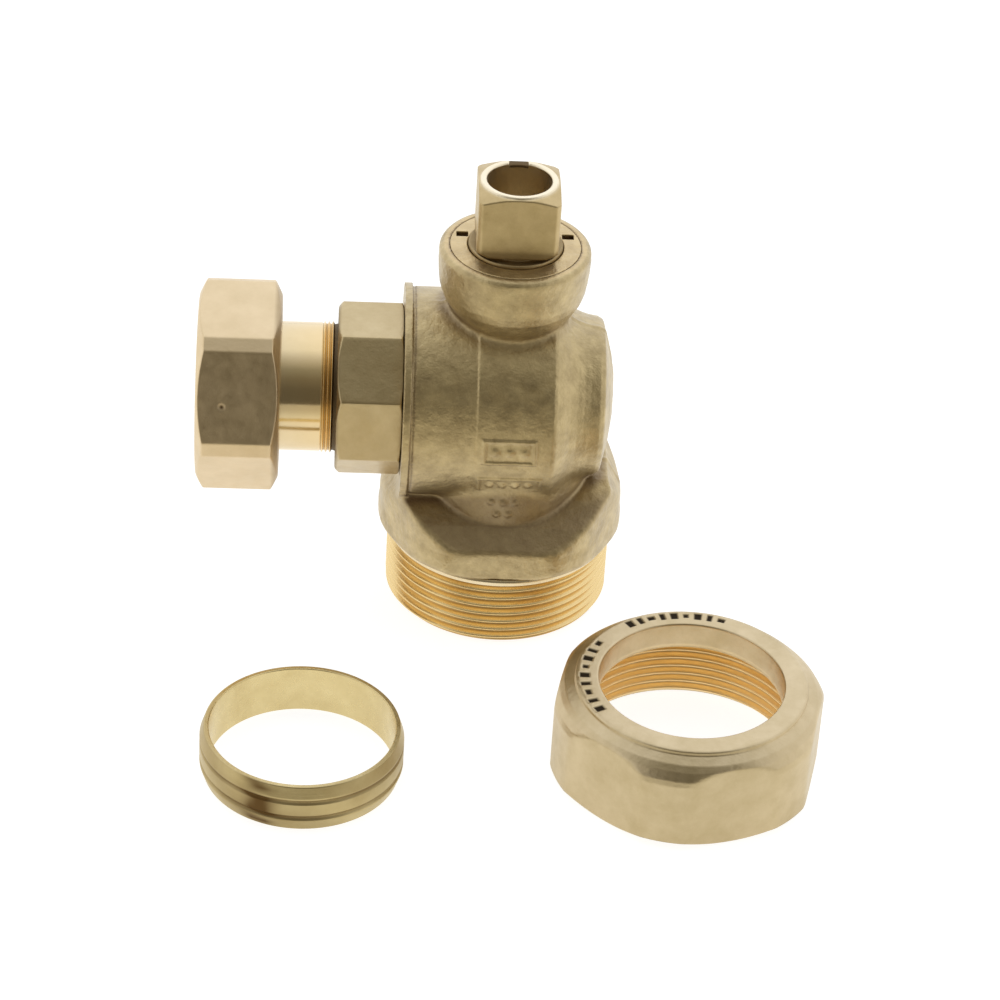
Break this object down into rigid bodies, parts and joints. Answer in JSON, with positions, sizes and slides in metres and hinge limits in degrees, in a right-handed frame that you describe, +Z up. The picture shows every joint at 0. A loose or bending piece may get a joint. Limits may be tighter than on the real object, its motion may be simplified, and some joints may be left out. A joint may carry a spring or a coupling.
{
  "type": "angle stop valve",
  "caption": "Brass angle stop valve with a square quarter-turn stem, male threaded inlet below, union nut on a side tail, and its loose compression nut and olive.",
  "frame": {"origin": "centre of the bounding box's footprint, at the height of the inlet thread's end face, on which the valve stands", "axes": "+Z up along the stem, +X away from the union nut, -X along the outlet; the loose nut and olive lie towards -Y"},
  "size_m": [0.0976, 0.086, 0.0751],
  "materials": {
    "forged_brass": "as forged and shot-blasted, matte",
    "satin_brass": "machined, satin",
    "turned_brass": "bright turned",
    "chromed_brass": "polished",
    "white_ptfe": "matte",
    "black_rubber": "matte",
    "grey_fibre": "matte fibre"
  },
  "bodies": {
    "valve": {"valve_body": "forged_brass", "gland_ring": "forged_brass", "thrust_washer": "white_ptfe", "slip_washer": "white_ptfe", "outlet_seat": "white_ptfe", "outlet_seat_ring": "black_rubber", "rear_seat": "white_ptfe", "rear_seat_ring": "black_rubber", "end_connector": "satin_brass", "body_seal_ring": "black_rubber", "union_tail": "turned_brass", "tail_seal": "grey_fibre", "union_gasket": "black_rubber"},
    "stem_and_ball": {"stem": "satin_brass", "stem_o_ring_lower": "black_rubber", "stem_o_ring_upper": "black_rubber", "ball": "chromed_brass"},
    "union_nut": {"union_nut": "satin_brass"},
    "compression_nut": {"compression_nut": "satin_brass"},
    "olive": {"olive": "turned_brass"}
  },
  "joints": [
    {"name": "stem_turn", "type": "hinge", "parent": "valve", "child": "stem_and_ball", "pos_m": [-0.00006, 0.02509, 0.06], "axis": [0, 0, 1], "range_deg": [0, 90]},
    {"name": "union_nut_spin", "type": "hinge", "parent": "valve", "child": "union_nut", "pos_m": [-0.04236, 0.02509, 0.0363], "axis": [1, 0, 0], "continuous": true},
    {"name": "compression_nut_turn", "type": "hinge", "parent": "valve", "child": "compression_nut", "pos_m": [0.02799, -0.02211, 0.008], "axis": [0, 0, 1], "continuous": true},
    {"name": "olive_lift", "type": "slide", "parent": "valve", "child": "olive", "axis": [0, 0, 1], "range_m": [0, 0.06]}
  ]
}
